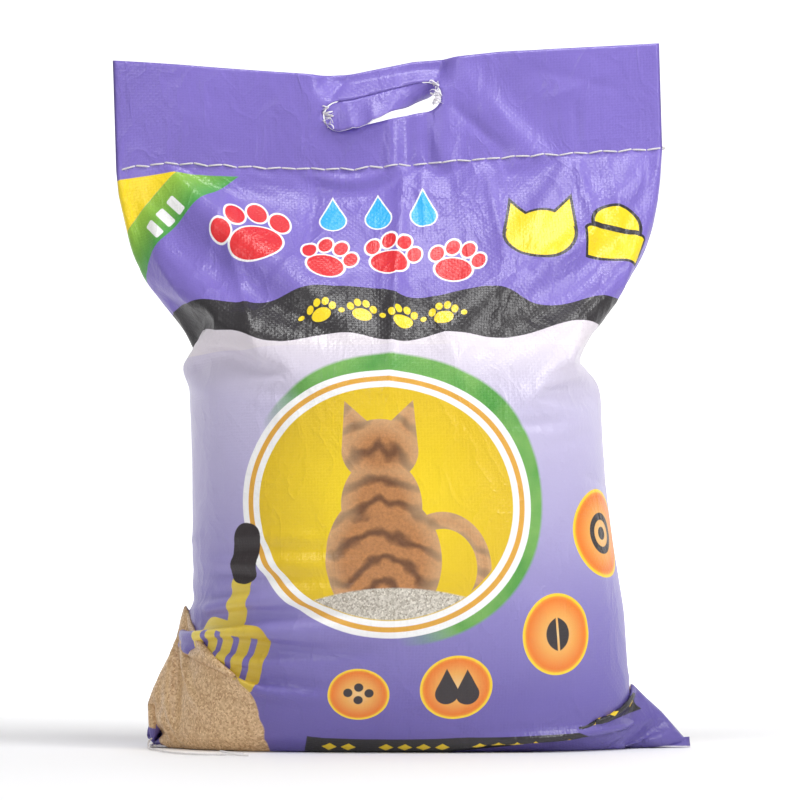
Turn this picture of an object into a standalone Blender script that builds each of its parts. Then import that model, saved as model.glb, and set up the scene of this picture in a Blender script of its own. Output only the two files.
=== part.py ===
"""Cat litter bag: a sewn woven-plastic sack, filled and standing, with a flat carrying header.

Metres, +Z up, the printed front faces -Y. The origin is on the floor, under the middle of the
bag's box. Four pieces: the sack with its filling, the two seam threads, and the loose end of the
bottom seam's thread.
"""
import bmesh
import bpy
import math
from mathutils import Matrix, Vector
from mathutils.geometry import interpolate_bezier

# ---- driving dimensions -------------------------------------------------------------------
HEADER_THICKNESS = 0.0024     # two plies, pressed flat
BODY_HALF_DEPTH = 0.1035      # filled body, middle to front

# One row a level, from the floor up to the flat header: height, left and right reach of the
# side, half depth, and how far the pointed bottom corners stand out at the left and the right.
LEVELS = (
    (0.000, -0.152, 0.164, 0.0740, 0.010, 0.026),
    (0.004, -0.161, 0.173, 0.0830, 0.017, 0.038),
    (0.015, -0.163, 0.172, 0.0900, 0.015, 0.032),
    (0.037, -0.160, 0.167, 0.0950, 0.010, 0.016),
    (0.060, -0.157, 0.166, 0.0985, 0.006, 0.002),
    (0.100, -0.149, 0.163, BODY_HALF_DEPTH, 0.000, 0.000),
    (0.150, -0.153, 0.155, BODY_HALF_DEPTH, 0.000, 0.000),
    (0.215, -0.152, 0.148, BODY_HALF_DEPTH, 0.000, 0.000),
    (0.260, -0.154, 0.140, 0.1030, 0.000, 0.000),
    (0.300, -0.152, 0.132, 0.0970, 0.000, 0.000),
    (0.330, -0.176, 0.155, 0.0800, 0.000, 0.000),
    (0.360, -0.196, 0.180, 0.0540, 0.000, 0.000),
    (0.390, -0.204, 0.189, 0.0260, 0.000, 0.000),
    (0.412, -0.209, 0.193, 0.0080, 0.000, 0.000),
)
# The top seam's line and the top edge, as points across the header.
TOP_SEAM_LINE = ((-0.210, 0.4255), (-0.172, 0.4300), (-0.100, 0.4265), (-0.037, 0.4255),
                 (0.060, 0.4330), (0.140, 0.4380), (0.193, 0.4410))
TOP_EDGE_LINE = ((-0.211, 0.506), (-0.140, 0.501), (-0.060, 0.498), (0.036, 0.509),
                 (0.073, 0.513), (0.192, 0.518))
HEADER_SIDES = (-0.2110, 0.1930)
HEADER_FOOT_DROP = 0.006      # the flat header starts this far under the top seam

AROUND = 72                   # points round each level
ROWS_BETWEEN_LEVELS = 2
HEADER_ROWS = 3
SECTION_ROUNDNESS = 2.25      # superellipse exponent of a filled level
CORNER_SHARPNESS = 14         # how narrow a bottom corner's point is

HAND_HOLE_LENGTH = 0.088
HAND_HOLE_HEIGHT = 0.024
HAND_HOLE_CENTRE = (-0.0130, 0.4740)
HAND_HOLE_TILT = math.radians(6)
FLAP_THICKNESS = 0.0010
FLAP_CLEARANCE = 0.0015       # the flap is this much smaller than the hole, all round
FLAP_LEAN = math.radians(68)  # from hanging straight down, backwards
OUTLINE_POINTS_AT_END = 10

THREAD_DIAMETER = 0.0013
GAP = 0.0003                  # between touching pieces
SEAM_GROOVE_WIDTH = 0.0060    # under the base, where the bottom seam lies
SEAM_GROOVE_DEPTH = 0.0026
BOTTOM_SEAM_ENDS = (-0.150, 0.162)
SEAM_POINT_SPACING = 0.013

# The loose thread end: out of the left bottom corner, down to the floor, forwards along the bag
# and into one small open loop that passes over itself.
TAIL_ROUTE = (
    (-0.1800, -0.0040, 0.0066), (-0.1815, -0.0110, 0.0048), (-0.1812, -0.0210, 0.0022),
    (-0.1790, -0.0330, 0.0010), (-0.1750, -0.0470, 0.0010), (-0.1702, -0.0610, 0.0010),
    (-0.1650, -0.0750, 0.0010), (-0.1590, -0.0880, 0.0010), (-0.1515, -0.0990, 0.0010),
    (-0.1425, -0.1070, 0.0010), (-0.1325, -0.1115, 0.0010), (-0.1222, -0.1122, 0.0010),
    (-0.1135, -0.1085, 0.0010), (-0.1092, -0.1015, 0.0010), (-0.1118, -0.0942, 0.0010),
    (-0.1192, -0.0925, 0.0013), (-0.1240, -0.0985, 0.0022), (-0.1242, -0.1060, 0.0030),
    (-0.1222, -0.1125, 0.0031), (-0.1178, -0.1182, 0.0024), (-0.1115, -0.1215, 0.0013),
    (-0.1040, -0.1225, 0.0010),
)
TAIL_POINT_SPACING = 2.6 * THREAD_DIAMETER

COLOURS = {                   # base colour, roughness, metallic
    "printed_film": ((0.23, 0.18, 0.55), 0.34, 0.0),
    "white_thread": ((0.86, 0.86, 0.84), 0.75, 0.0),
}


# ---- scene, collections and materials -----------------------------------------------------
def clear_scene():
    for thing in list(bpy.data.objects):
        bpy.data.objects.remove(thing, do_unlink=True)


def new_collection(name):
    group = bpy.data.collections.new(name)
    bpy.context.scene.collection.children.link(group)
    return group


def new_material(name):
    colour, roughness, metallic = COLOURS[name]
    material = bpy.data.materials.new(name)
    material.use_nodes = True
    shader = material.node_tree.nodes["Principled BSDF"]
    shader.inputs["Base Color"].default_value = (*colour, 1.0)
    shader.inputs["Roughness"].default_value = roughness
    shader.inputs["Metallic"].default_value = metallic
    material.diffuse_color = (*colour, 1.0)
    return material


def new_object(name, data, group, material=None):
    thing = bpy.data.objects.new(name, data)
    group.objects.link(thing)
    if material is not None:
        data.materials.append(material)
    return thing


# ---- small helpers ------------------------------------------------------------------------
def read_line(points, x):
    """Height of a line of (x, z) points at x, straight between them."""
    if x <= points[0][0]:
        return points[0][1]
    for (x0, z0), (x1, z1) in zip(points, points[1:]):
        if x <= x1:
            t = (x - x0) / (x1 - x0)
            return z0 + (z1 - z0) * t
    return points[-1][1]


def curve_through(points):
    """A dense smooth polyline through the points, with cubic pieces between them."""
    points = [Vector(p) for p in points]
    slopes = []
    for i in range(len(points)):
        before, after = points[max(i - 1, 0)], points[min(i + 1, len(points) - 1)]
        slopes.append((after - before) / 2)
    line = [points[0]]
    for a, b, slope_a, slope_b in zip(points, points[1:], slopes, slopes[1:]):
        line += interpolate_bezier(a, a + slope_a / 3, b - slope_b / 3, b, 17)[1:]
    return line


def spaced_along(line, spacing):
    """Points at an even spacing along a polyline, its two ends among them."""
    lengths = [0.0]
    for a, b in zip(line, line[1:]):
        lengths.append(lengths[-1] + (b - a).length)
    count = max(2, round(lengths[-1] / spacing) + 1)
    spaced, piece = [], 0
    for i in range(count):
        wanted = lengths[-1] * i / (count - 1)
        while piece < len(line) - 2 and lengths[piece + 1] < wanted:
            piece += 1
        t = (wanted - lengths[piece]) / (lengths[piece + 1] - lengths[piece])
        spaced.append(line[piece].lerp(line[piece + 1], t))
    return spaced


def smooth_levels():
    """The levels, with eased rows added between them."""
    rows = []
    for i in range(len(LEVELS) - 1):
        before, low = Vector(LEVELS[max(i - 1, 0)]), Vector(LEVELS[i])
        high, after = Vector(LEVELS[i + 1]), Vector(LEVELS[min(i + 2, len(LEVELS) - 1)])
        for step in range(ROWS_BETWEEN_LEVELS):
            t = step / ROWS_BETWEEN_LEVELS
            rise = high[0] - low[0]
            slope_low = (high - before) * (rise / (high[0] - before[0]))
            slope_high = (after - low) * (rise / (after[0] - low[0]))
            rows.append(low * (2 * t ** 3 - 3 * t ** 2 + 1) + slope_low * (t ** 3 - 2 * t ** 2 + t)
                        + high * (3 * t ** 2 - 2 * t ** 3) + slope_high * (t ** 3 - t ** 2))
    rows.append(Vector(LEVELS[-1]))
    return rows


def signed_power(value, power):
    return math.copysign(abs(value) ** power, value)


# ---- the sack -----------------------------------------------------------------------------
def filled_level(height, left, right, half_depth, ear_left, ear_right):
    """One closed level of the filled sack: a rounded section with a point at each side."""
    middle, half_width = (left + right) / 2, (right - left) / 2
    ring = []
    for i in range(AROUND):
        angle = 2 * math.pi * i / AROUND
        across, deep = math.cos(angle), math.sin(angle)
        x = middle + half_width * signed_power(across, 2 / SECTION_ROUNDNESS)
        x += (ear_right if across > 0 else -ear_left) * abs(across) ** CORNER_SHARPNESS
        ring.append(Vector((x, half_depth * signed_power(deep, 2 / SECTION_ROUNDNESS), height)))
    return ring


def header_level(rise):
    """One level of the flat header: rise is 0 at its foot and 1 at the top edge."""
    left, right = HEADER_SIDES
    ring = []
    for i in range(AROUND):
        angle = 2 * math.pi * i / AROUND
        x = (left + right) / 2 + (right - left) / 2 * math.cos(angle)
        foot = read_line(TOP_SEAM_LINE, x) - HEADER_FOOT_DROP
        top = read_line(TOP_EDGE_LINE, x)
        y = HEADER_THICKNESS / 2 * signed_power(math.sin(angle), 0.3)
        ring.append(Vector((x, y, foot + (top - foot) * rise)))
    return ring


def loft(rings):
    """A closed mesh through the rings, capped at both ends."""
    mesh = bmesh.new()
    levels = [[mesh.verts.new(point) for point in ring] for ring in rings]
    for low, high in zip(levels, levels[1:]):
        for i in range(AROUND):
            j = (i + 1) % AROUND
            mesh.faces.new((low[i], low[j], high[j], high[i]))
    mesh.faces.new(list(reversed(levels[0])))
    mesh.faces.new(levels[-1])
    bmesh.ops.recalc_face_normals(mesh, faces=mesh.faces)
    return mesh


def stadium_plate(name, length, height, thickness, group):
    """A flat plate with round ends, in the X-Z plane, centred on its object's origin."""
    curve = bpy.data.curves.new(name, "CURVE")
    curve.dimensions = "2D"
    curve.fill_mode = "BOTH"
    curve.extrude = thickness / 2
    spline = curve.splines.new("POLY")
    radius = height / 2
    outline = []
    for side, start in ((1, -math.pi / 2), (-1, math.pi / 2)):
        for i in range(OUTLINE_POINTS_AT_END + 1):
            angle = start + math.pi * i / OUTLINE_POINTS_AT_END
            outline.append((side * (length / 2 - radius) + radius * math.cos(angle),
                            radius * math.sin(angle)))
    spline.points.add(len(outline) - 1)
    for point, (x, y) in zip(spline.points, outline):
        point.co = (x, y, 0.0, 1.0)
    spline.use_cyclic_u = True
    plate = new_object(name, curve, group)
    plate.matrix_world = Matrix.Rotation(math.pi / 2, 4, "X")
    return made_mesh(plate, group)


def made_mesh(thing, group):
    """The same object as a mesh, with its caps welded and its placing kept in the object."""
    bpy.context.view_layer.update()
    evaluated = thing.evaluated_get(bpy.context.evaluated_depsgraph_get())
    data = bpy.data.meshes.new_from_object(evaluated)
    shape = bmesh.new()
    shape.from_mesh(data)
    bmesh.ops.remove_doubles(shape, verts=shape.verts, dist=1e-6)
    bmesh.ops.recalc_face_normals(shape, faces=shape.faces)
    shape.to_mesh(data)
    shape.free()
    copy = new_object(thing.name + "_mesh", data, group)
    copy.matrix_world = thing.matrix_world.copy()
    bpy.data.objects.remove(thing, do_unlink=True)
    return copy


def hide_cutter(thing):
    thing.hide_render = True
    thing.display_type = "WIRE"


def add_boolean(thing, other, operation):
    step = thing.modifiers.new(other.name, "BOOLEAN")
    step.operation = operation
    step.solver = "EXACT"
    step.object = other


def hand_hole_place():
    x, z = HAND_HOLE_CENTRE
    return Matrix.Translation((x, 0.0, z)) @ Matrix.Rotation(-HAND_HOLE_TILT, 4, "Y")


def make_hand_hole(sack, cutters):
    """The slot through the header, and the flap that was cut from it and leans out behind."""
    hole = stadium_plate("hand_hole_cutter", HAND_HOLE_LENGTH, HAND_HOLE_HEIGHT, 0.03, cutters)
    hole.matrix_world = hand_hole_place() @ hole.matrix_world
    hide_cutter(hole)
    add_boolean(sack, hole, "DIFFERENCE")

    small = 2 * FLAP_CLEARANCE
    flap = stadium_plate("hand_hole_flap", HAND_HOLE_LENGTH - small, HAND_HOLE_HEIGHT - small,
                         FLAP_THICKNESS, cutters)
    hinge = Matrix.Translation((0.0, 0.0, HAND_HOLE_HEIGHT / 2))
    hang = Matrix.Translation((0.0, 0.0, FLAP_CLEARANCE - HAND_HOLE_HEIGHT / 2))
    flap.matrix_world = (hand_hole_place() @ hinge @ Matrix.Rotation(FLAP_LEAN, 4, "X")
                         @ hang @ flap.matrix_world)
    hide_cutter(flap)
    add_boolean(sack, flap, "UNION")


def make_seam_groove(sack, cutters):
    """The shallow channel under the base that the bottom seam is pressed into."""
    length = BOTTOM_SEAM_ENDS[1] - BOTTOM_SEAM_ENDS[0] + 0.006
    bpy.ops.mesh.primitive_cube_add(size=1, location=(sum(BOTTOM_SEAM_ENDS) / 2, 0.0, 0.0))
    groove = bpy.context.object
    groove.name = "seam_groove_cutter"
    shape = Matrix.Diagonal((length, SEAM_GROOVE_WIDTH, 2 * SEAM_GROOVE_DEPTH, 1.0))
    groove.data.transform(shape)
    for other in list(groove.users_collection):
        other.objects.unlink(groove)
    cutters.objects.link(groove)
    hide_cutter(groove)
    add_boolean(sack, groove, "DIFFERENCE")


def make_sack(parts, cutters):
    rings = [filled_level(*row) for row in smooth_levels()]
    rings += [header_level(i / HEADER_ROWS) for i in range(HEADER_ROWS + 1)]
    shape = loft(rings)
    data = bpy.data.meshes.new("sack")
    shape.to_mesh(data)
    shape.free()
    sack = new_object("sack", data, parts, new_material("printed_film"))
    make_hand_hole(sack, cutters)
    make_seam_groove(sack, cutters)
    return sack


# ---- threads ------------------------------------------------------------------------------
def thread_tube(name, points, parts, material, closed=False):
    curve = bpy.data.curves.new(name, "CURVE")
    curve.dimensions = "3D"
    curve.bevel_depth = THREAD_DIAMETER / 2
    curve.bevel_resolution = 2
    curve.use_fill_caps = not closed
    spline = curve.splines.new("POLY")
    spline.points.add(len(points) - 1)
    for point, place in zip(spline.points, points):
        point.co = (*place, 1.0)
    spline.use_cyclic_u = closed
    return new_object(name, curve, parts, material)


def make_top_seam_thread(parts, material):
    """The stitching that closes the header: along the front, round the side and back again."""
    left, right = HEADER_SIDES
    out = HEADER_THICKNESS / 2 + GAP + THREAD_DIAMETER / 2
    steps = round((right - left) / SEAM_POINT_SPACING)
    front = []
    for i in range(steps + 1):
        x = left + (right - left) * i / steps
        front.append(Vector((x, -out, read_line(TOP_SEAM_LINE, x))))
    back = [Vector((p.x, out, p.z)) for p in reversed(front)]
    right_turn = [front[-1] + Vector((out * 0.8, out * 0.35, 0)),
                  front[-1] + Vector((out * 0.8, out * 1.65, 0))]
    left_turn = [front[0] + Vector((-out * 0.8, out * 1.65, 0)),
                 front[0] + Vector((-out * 0.8, out * 0.35, 0))]
    thread_tube("top_seam_thread", front + right_turn + back + left_turn, parts, material, True)


def make_bottom_seam_thread(parts, material):
    start, end = BOTTOM_SEAM_ENDS
    height = SEAM_GROOVE_DEPTH - GAP - THREAD_DIAMETER / 2
    steps = round((end - start) / SEAM_POINT_SPACING)
    points = [Vector((start + (end - start) * i / steps, 0.0, height)) for i in range(steps + 1)]
    thread_tube("bottom_seam_thread", points, parts, material)


def make_thread_tail(parts, material):
    points = spaced_along(curve_through(TAIL_ROUTE), TAIL_POINT_SPACING)
    thread_tube("thread_tail", points, parts, material)


def main():
    clear_scene()
    parts = new_collection("cat_litter_bag")
    cutters = new_collection("cutters")
    make_sack(parts, cutters)
    white_thread = new_material("white_thread")
    make_top_seam_thread(parts, white_thread)
    make_bottom_seam_thread(parts, white_thread)
    make_thread_tail(parts, white_thread)


main()
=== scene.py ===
"""Cat litter bag: the look of a filled, sewn, woven-plastic sack with a flat carrying header."""

import functools
import math

import bpy
import numpy as np
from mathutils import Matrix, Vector


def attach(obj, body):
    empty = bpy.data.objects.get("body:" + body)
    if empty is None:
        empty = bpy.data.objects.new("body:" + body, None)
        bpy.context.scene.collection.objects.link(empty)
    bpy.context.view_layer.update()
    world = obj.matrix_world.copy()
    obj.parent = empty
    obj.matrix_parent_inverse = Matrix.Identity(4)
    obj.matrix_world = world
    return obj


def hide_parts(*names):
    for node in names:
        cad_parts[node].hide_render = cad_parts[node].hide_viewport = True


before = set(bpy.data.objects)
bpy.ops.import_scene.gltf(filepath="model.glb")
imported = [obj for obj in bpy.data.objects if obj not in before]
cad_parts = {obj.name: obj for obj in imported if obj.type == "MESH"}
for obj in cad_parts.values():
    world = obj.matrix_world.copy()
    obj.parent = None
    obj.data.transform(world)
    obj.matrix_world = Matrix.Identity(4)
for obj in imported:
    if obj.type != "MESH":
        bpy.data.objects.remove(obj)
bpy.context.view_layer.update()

bl_info = {
    "name": "Cat Litter Bag",
    "version": (1, 0, 0),
    "blender": (4, 5, 0),
    "location": "View3D > Sidebar > Litter Bag",
    "description": "Builds a standing, sewn litter bag with its print, seams and thread end",
    "category": "Object",
}


def from_screen(red, green, blue):
    """A colour given as 0-255 screen values, as the linear values that a shader takes."""
    def linear(value):
        value /= 255
        return value / 12.92 if value <= 0.04045 else ((value + 0.055) / 1.055) ** 2.4
    return linear(red), linear(green), linear(blue)


# ---- settings -----------------------------------------------------------------------------
def length(name, description, default):
    """A setting in metres."""
    return bpy.props.FloatProperty(name=name, description=description, default=default,
                                   min=0.0, precision=4, unit="LENGTH")


def colour(name, description, default):
    """A colour setting, whose default is given as 0-255 screen values."""
    return bpy.props.FloatVectorProperty(name=name, description=description, size=3, min=0.0,
                                         max=1.0, subtype="COLOR", default=from_screen(*default))


class BagSizes(bpy.types.PropertyGroup):
    flat_width: length("Flat width", "Width of the empty sack laid flat", 0.404)
    header_height: length("Header height", "Flat cloth above the top seam", 0.078)
    shoulder_length: length("Shoulder length", "Cloth from the filling's top to the top seam", 0.178)
    ply_gap: length("Ply gap", "Half the distance between the header's two plies", 0.0005)
    tape_width: length("Tape width", "Width of one woven tape", 0.0022)
    stitch_pitch: length("Stitch pitch", "Distance between needle holes", 0.0108)
    thread_diameter: length("Thread diameter", "Diameter of the sewing thread", 0.0013)
    hole_length: length("Hand hole length", "Length of the hand hole along its slant", 0.088)
    hole_height: length("Hand hole height", "Height of the hand hole", 0.024)
    hem_width: length("Hem width", "Width of the hem under the base", 0.012)


class BagColours(bpy.types.PropertyGroup):
    violet: colour("Violet", "Main colour of the print", (126, 109, 194))
    pale: colour("Pale", "Pale ground under the band", (224, 216, 224))
    band: colour("Band", "Dark band and strip", (44, 41, 44))
    sun: colour("Yellow", "Yellow disc and marks", (250, 218, 26))
    leaf: colour("Green", "Green crescent and corner stripe", (70, 158, 74))
    ember: colour("Orange", "Orange of the round badges", (238, 126, 40))
    berry: colour("Red", "Red of the paw trail", (224, 38, 44))
    sky: colour("Light blue", "Light blue of the drops", (46, 178, 236))
    coat: colour("Tabby", "Coat of the printed cat", (186, 128, 78))
    paper: colour("White", "White of the print and of the raw cloth", (248, 247, 246))
    thread: colour("Thread", "Sewing thread", (226, 223, 219))


def sizes():
    return bpy.context.scene.litter_bag_sizes


def colours():
    return bpy.context.scene.litter_bag_colours


# ---- the sack's standing form -------------------------------------------------------------
# Lines across the header as (x, z) points, and the two side folds between the filling and the
# header, also as (x, z) points.
TOP_SEAM_LINE = ((-0.210, 0.4225), (-0.172, 0.4270), (-0.100, 0.4235), (-0.037, 0.4225),
                 (0.060, 0.4300), (0.140, 0.4350), (0.193, 0.4380))
TOP_EDGE_LINE = ((-0.211, 0.5030), (-0.140, 0.4975), (-0.060, 0.4918), (-0.035, 0.4940),
                 (0.010, 0.5040), (0.036, 0.5060), (0.073, 0.5100), (0.192, 0.5150))
LEFT_SHOULDER = ((-0.1520, 0.290), (-0.156, 0.303), (-0.167, 0.317), (-0.181, 0.332),
                 (-0.1900, 0.345), (-0.197, 0.363), (-0.202, 0.384), (-0.2065, 0.403),
                 (-0.2085, 0.4215))
RIGHT_SHOULDER = ((0.1370, 0.290), (0.139, 0.304), (0.148, 0.319), (0.160, 0.332),
                  (0.1690, 0.343), (0.1785, 0.359), (0.185, 0.378), (0.189, 0.398),
                  (0.1910, 0.415), (0.1925, 0.4375))
RIGHT_CORNER = ((0.2105, 0.0030), (0.2035, 0.0105), (0.1900, 0.0260), (0.1780, 0.0370),
                (0.1680, 0.0475))
LEFT_CORNER = ((-0.1790, 0.0035), (-0.1765, 0.0200), (-0.1715, 0.0420), (-0.1645, 0.0720),
               (-0.1570, 0.1050))
# The filling, level by level: height, left and right reach, half depth.
FILLING = ((0.000, -0.160, 0.162, 0.070), (0.010, -0.165, 0.168, 0.080),
           (0.030, -0.163, 0.168, 0.088), (0.060, -0.157, 0.165, 0.094),
           (0.100, -0.147, 0.1625, 0.098), (0.150, -0.150, 0.1545, 0.100),
           (0.215, -0.1515, 0.1465, 0.1005), (0.260, -0.1525, 0.139, 0.100),
           (0.295, -0.150, 0.130, 0.098), (0.318, -0.140, 0.124, 0.096))
FILLING_TOP = FILLING[-1][0]
FILLING_SHOULDER = 0.215      # where the filling starts to round over
SECTION_ROUNDNESS = 2.35
SHOULDER_START = 0.285        # where the cloth leaves the filling
COARSE_COLUMNS = 41           # points across the flat sack before it is refined
HEM_LIFT = 0.0022             # the hem under the base holds the cloth this far off the floor
HEM_REACH = 0.008             # and over this distance to each side of the seam
SIDE_SMOOTHING = 14           # rounds
SHEAR_STIFFNESS = 0.25        # how much of a diagonal's change of length each round undoes
SPEED_KEPT = 0.96             # from one step of the settling to the next
FOLD_PULL, FOLD_DEPTH_KEPT = 0.5, 0.9    # how hard the side folds are drawn to their guides
START_NOISE = 0.0008
LEAST_GAP = 0.001             # between the sack's front and its back


def line_height(points, x):
    """The height at x of a line given by its (x, z) points."""
    px, pz = zip(*points)
    return np.interp(x, px, pz)


def lengths_along(x, y):
    """How far along a flat line each of its points lies."""
    return np.concatenate([[0], np.cumsum(np.hypot(np.diff(x), np.diff(y)))])


def bell(x, centre, width):
    return np.exp(-((x - centre) / width) ** 2)


def crease_height(creases, across, up):
    """The height of sharp ridges, each from (a0, b0) to (a1, b1) with a height and a width."""
    total = 0.0
    for a0, b0, a1, b1, height, width in creases:
        da, db = a1 - a0, b1 - b0
        size = math.hypot(da, db)
        along = ((across - a0) * da + (up - b0) * db) / size ** 2
        aside = ((up - b0) * da - (across - a0) * db) / size
        window = np.sqrt(np.clip(4 * along * (1 - along), 0, 1))
        total = total + height * window * np.exp(-np.abs(aside) / width)
    return total


def scattered_creases(seed, count, low, high, heading, spread, reach, height):
    """Creases at random places between two corners, about one heading."""
    rng = np.random.default_rng(seed)
    middle = rng.uniform(low, high, (count, 2))
    angle = heading + spread * rng.normal(size=count)
    step = np.stack([np.cos(angle), np.sin(angle)], -1)
    step *= rng.uniform(0.3, 1.0, (count, 1)) * reach / 2
    heights = rng.choice((-1, 1), count) * rng.uniform(0.35, 1.0, count) * height
    widths = rng.uniform(0.0022, 0.0060, count)
    return np.column_stack([middle - step, middle + step, heights, widths])


UPRIGHT = math.pi / 2
# Creases in the header, across it and up from the top seam.
HEADER_CREASES = np.concatenate([
    ((-0.052, 0.056, -0.038, 0.080, -0.0030, 0.0025), (0.026, 0.058, 0.034, 0.082, -0.003, 0.002),
     (0.036, 0.0440, 0.080, 0.0005, -0.0030, 0.0045), (0.131, 0.004, 0.129, 0.038, -0.0016, 0.003),
     (-0.060, 0.030, -0.035, 0.052, 0.0016, 0.0045), (0.020, 0.036, 0.030, 0.002, 0.0018, 0.004),
     (0.090, 0.066, 0.165, 0.044, -0.0014, 0.0060), (0.105, 0.040, 0.160, 0.060, 0.0012, 0.0050)),
    scattered_creases(3, 12, (-0.19, 0.012), (0.18, 0.072), UPRIGHT, 0.7, 0.060, 0.0008)])
# Creases in the filled part, from the left fold round the sack and up from the bottom seam.
SACK_CREASES = np.concatenate([
    ((0.214, 0.545, 0.196, 0.330, 0.0046, 0.0075), (0.225, 0.540, 0.228, 0.470, 0.0022, 0.003),
     (0.271, 0.540, 0.285, 0.440, 0.0026, 0.0040), (0.338, 0.540, 0.352, 0.460, 0.0026, 0.004),
     (0.082, 0.470, 0.106, 0.355, 0.0030, 0.0050), (0.150, 0.540, 0.140, 0.450, -0.0022, 0.0060),
     (0.361, 0.532, 0.377, 0.440, 0.0016, 0.0035), (0.388, 0.490, 0.372, 0.405, 0.0026, 0.004),
     (0.090, 0.532, 0.060, 0.440, 0.0016, 0.0040), (0.020, 0.470, 0.060, 0.395, 0.0024, 0.004),
     (0.000, 0.170, 0.050, 0.178, -0.0016, 0.0035), (0.000, 0.205, 0.062, 0.196, -0.0018, 0.004),
     (0.000, 0.232, 0.045, 0.238, 0.0014, 0.0035), (0.345, 0.272, 0.404, 0.262, -0.0024, 0.005),
     (0.060, 0.398, 0.120, 0.372, 0.0018, 0.0045), (0.225, 0.430, 0.245, 0.350, 0.0018, 0.005)),
    scattered_creases(8, 70, (0.0, 0.385), (0.808, 0.525), UPRIGHT, 0.55, 0.090, 0.0011),
    scattered_creases(21, 80, (0.0, 0.120), (0.808, 0.400), 0.0, 1.2, 0.080, 0.0005),
    scattered_creases(34, 60, (0.0, 0.020), (0.808, 0.130), 0.3, 0.9, 0.060, 0.0010)])


def header_relief(x, up):
    """How far the header stands back at x; up is 0 at the top seam and 1 at the top edge."""
    depth = 0.0030 * np.sin(21 * x + 0.6) * (0.30 + 0.70 * up)
    depth += 0.0016 * np.sin(47 * x - 1.1 + 1.4 * up)
    gathers = 1 - up
    depth += 0.0034 * gathers * (bell(x, 0.006, 0.006) - bell(x, -0.006, 0.006)
                                 + bell(x, 0.021, 0.007) - bell(x, 0.033, 0.010))
    handle = np.clip((up - 0.70) / 0.22, 0, 1)
    depth += 0.0120 * handle * (np.tanh((x + 0.058) / 0.006) - np.tanh((x - 0.036) / 0.006)) / 2
    depth -= crease_height(HEADER_CREASES, x, up * sizes().header_height)
    slanted_crease = (x - 0.092) * 0.62 + (up - 0.25) * 0.045
    depth += 0.0042 * np.tanh(slanted_crease / 0.006) * bell(x, 0.088, 0.045)
    return depth


def header_place(across, up):
    """Where the header's middle lies; across is 0 at the left fold and 1 at the right fold."""
    left = -0.2085 - 0.0029 * up
    right = 0.1925 - 0.0022 * up
    x = left + (right - left) * across
    low, high = line_height(TOP_SEAM_LINE, x), line_height(TOP_EDGE_LINE, x)
    return np.stack([x, header_relief(x, up), low + (high - low) * up], -1)


def filling_at(height):
    """The filling's left and right reach and its half depth at a height."""
    levels, *measures = np.transpose(FILLING)
    return [np.interp(height, levels, measure) for measure in measures]


def keep_outside_filling(places):
    """Moves cloth that has gone into the filling out through its side, or down to the floor."""
    x, y, z = places[..., 0], places[..., 1], places[..., 2]
    height = np.clip(z, 0, FILLING_TOP)
    left, right, half_depth = filling_at(height)
    rise = np.clip((height - FILLING_SHOULDER) / (FILLING_TOP - FILLING_SHOULDER), 0, 1)
    lumps = (1 + 0.010 * np.sin(38 * x + 51 * z + 0.7) * np.sin(43 * z - 17 * x)
             + 0.006 * np.sin(90 * x + 2 * np.sin(60 * z)))
    reach = (right - left) / 2 * np.sqrt(np.clip(1 - rise ** 6, 0, 1))
    depth = half_depth * np.sqrt(np.clip(1 - rise ** 2.6, 0, 1)) * lumps
    middle = (left + right) / 2
    aside = x - middle
    level = ((np.abs(aside) / np.maximum(reach, 1e-5)) ** SECTION_ROUNDNESS
             + (np.abs(y) / np.maximum(depth, 1e-5)) ** SECTION_ROUNDNESS)
    inside = (z < FILLING_TOP) & (level < 1)
    growth = np.where(inside, np.maximum(level, 1e-3) ** (-1 / SECTION_ROUNDNESS), 1.0)
    down = inside & (z < (growth - 1) * np.hypot(aside, y))
    out = inside & ~down
    places[..., 0] = np.where(out, middle + aside * growth, x)
    places[..., 1] = np.where(out, y * growth, y)
    places[..., 2] = np.where(down, 0.0, z)


def keep_above_floor(places):
    """The floor, with the hem of the bottom seam lying on it along the middle."""
    near = np.clip(1 - np.abs(places[..., 1]) / HEM_REACH, 0, 1)
    floor = HEM_LIFT * near * near * (3 - 2 * near)
    np.maximum(places[..., 2], floor, out=places[..., 2])


def even_ring(reach, depth, count):
    """Evenly spaced points round a filled level, from the left fold along the front; its girth."""
    angle = np.linspace(0, 2 * np.pi, 2001)
    power = 2 / SECTION_ROUNDNESS
    x = -reach * np.sign(np.cos(angle)) * np.abs(np.cos(angle)) ** power
    y = -depth * np.sign(np.sin(angle)) * np.abs(np.sin(angle)) ** power
    along = lengths_along(x, y)
    at = np.arange(count) / count * along[-1]
    return np.interp(at, along, x), np.interp(at, along, y), along[-1]


def ring_of_girth(girth, depth, count):
    """Evenly spaced points round a level of the given girth and half depth."""
    low, high = 0.02, girth / 4
    for _ in range(40):
        reach = (low + high) / 2
        if even_ring(reach, depth, 400)[2] < girth:
            low = reach
        else:
            high = reach
    return even_ring(low, depth, count)[:2]


def even_steps(points, spacing):
    """Points at an even spacing along an (x, z) line."""
    x, z = np.transpose(points)
    along = lengths_along(x, z)
    at = np.linspace(0, along[-1], int(round(along[-1] / spacing)) + 1)
    return np.stack([np.interp(at, along, x), np.interp(at, along, z)], -1)


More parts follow.
